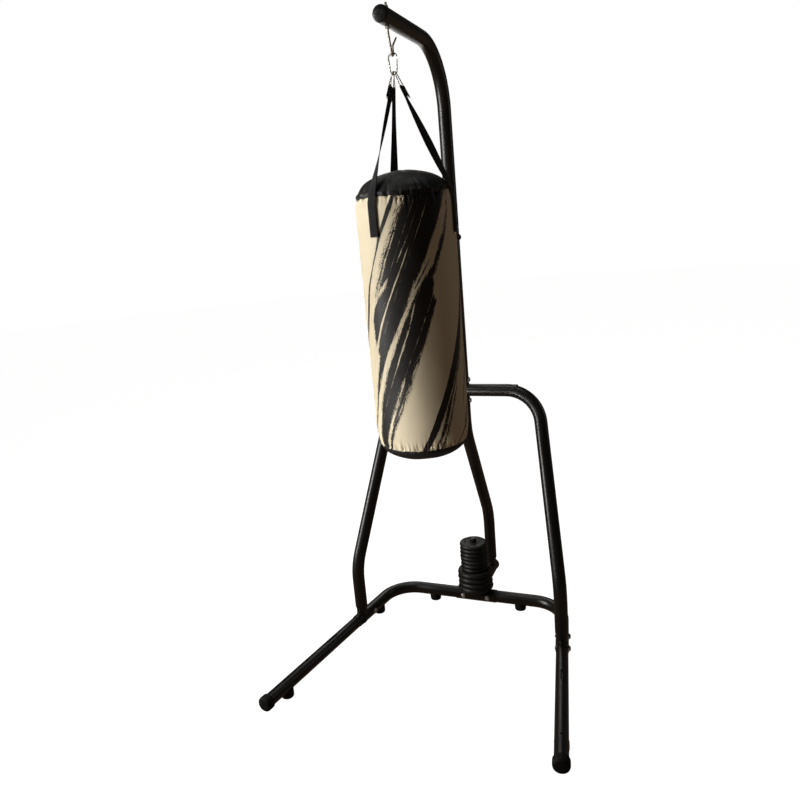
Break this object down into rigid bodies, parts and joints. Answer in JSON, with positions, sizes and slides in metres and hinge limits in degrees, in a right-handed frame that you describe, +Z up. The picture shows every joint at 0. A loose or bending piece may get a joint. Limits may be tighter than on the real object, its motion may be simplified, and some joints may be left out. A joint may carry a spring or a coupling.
{
  "type": "punching bag on stand",
  "caption": "Free-standing tube stand with a curved overhead arm, a strapped cylindrical punching bag hanging from it, and removable weight plates on the base.",
  "frame": {"origin": "on the floor, in the middle of the stand's bounding box", "axes": "+Z up, the arm and the open side of the base point to the front along -Y, +X to the right as seen from the front"},
  "size_m": [1.0074, 1.1162, 2.118],
  "materials": {
    "black_paint": "satin powder coat",
    "zinc_steel": "bright zinc plated",
    "black_rubber": "matt",
    "black_plastic": "matt",
    "printed_skin": "semi-gloss cream with black brush strokes",
    "black_vinyl": "satin, gathered",
    "black_webbing": "woven webbing",
    "filling": "packed textile",
    "plate_vinyl": "satin vinyl shell"
  },
  "bodies": {
    "stand": {"arm": "black_paint", "arm_joint_bolt": "zinc_steel", "arm_plug": "black_plastic", "centre_bracket": "black_paint", "crossbar": "black_paint", "front_cap_left": "black_rubber", "front_cap_right": "black_rubber", "front_floor_tube_left": "black_paint", "front_floor_tube_right": "black_paint", "front_foot_left": "black_rubber", "front_foot_right": "black_rubber", "front_joint_bolt_left": "zinc_steel", "front_joint_bolt_right": "zinc_steel", "hub_bolt_lower": "zinc_steel", "hub_bolt_upper": "zinc_steel", "leg_left": "black_paint", "leg_right": "black_paint", "lower_mast": "black_paint", "rear_floor_tube_left": "black_paint", "rear_floor_tube_right": "black_paint", "rear_foot_left": "black_rubber", "rear_foot_right": "black_rubber", "rear_joint_bolt_left": "zinc_steel", "rear_joint_bolt_right": "zinc_steel", "rear_plug": "black_plastic", "side_foot_left": "black_rubber", "side_foot_right": "black_rubber", "sleeve_bolt_left": "zinc_steel", "sleeve_bolt_right": "zinc_steel", "stub_foot": "black_rubber", "upper_mast": "black_paint", "weight_spindle": "black_paint"},
    "hook": {"bag_hook": "zinc_steel", "hook_top_nut": "zinc_steel", "hook_lower_nut": "zinc_steel"},
    "snap": {"snap_hook": "zinc_steel", "gate_pin": "zinc_steel"},
    "gate": {"snap_hook_gate": "zinc_steel"},
    "bag": {"strap_ring_left": "zinc_steel", "strap_ring_rear": "zinc_steel", "strap_ring_right": "zinc_steel", "strap_left": "black_webbing", "strap_rear": "black_webbing", "strap_right": "black_webbing", "bag_shell": "printed_skin", "bag_top_cover": "black_vinyl", "bag_bottom_cap": "black_vinyl", "bag_filling": "filling"},
    "large_plates": {"large_plate_1": "plate_vinyl", "large_plate_2": "plate_vinyl", "large_plate_3": "plate_vinyl", "large_plate_4": "plate_vinyl"},
    "small_plates": {"small_plate_1": "plate_vinyl", "small_plate_2": "plate_vinyl", "small_plate_3": "plate_vinyl", "small_plate_4": "plate_vinyl", "small_plate_5": "plate_vinyl", "small_plate_6": "plate_vinyl", "small_plate_7": "plate_vinyl"}
  },
  "joints": [
    {"name": "hook_twist", "type": "hinge", "parent": "stand", "child": "hook", "pos_m": [0, -0.176, 2.079], "axis": [0, 0, 1], "range_deg": [-20, 20]},
    {"name": "swing_sideways", "type": "hinge", "parent": "hook", "child": "snap", "pos_m": [0, -0.156, 1.984], "axis": [0, 1, 0], "range_deg": [-25, 25]},
    {"name": "swing_fore_aft", "type": "hinge", "parent": "snap", "child": "bag", "pos_m": [0, -0.156, 1.9335], "axis": [1, 0, 0], "range_deg": [-32, 9]},
    {"name": "gate_open", "type": "hinge", "parent": "snap", "child": "gate", "pos_m": [0.0105, -0.156, 1.947], "axis": [0, -1, 0], "range_deg": [0, 20], "stiffness_Nm_per_rad": 0.02, "springref_deg": -11.46},
    {"name": "large_plates_lift", "type": "slide", "parent": "stand", "child": "large_plates", "axis": [0, 0, 1], "range_m": [0, 0.13]},
    {"name": "small_plates_lift", "type": "slide", "parent": "large_plates", "child": "small_plates", "axis": [0, 0, 1], "range_m": [0, 0.15]}
  ]
}
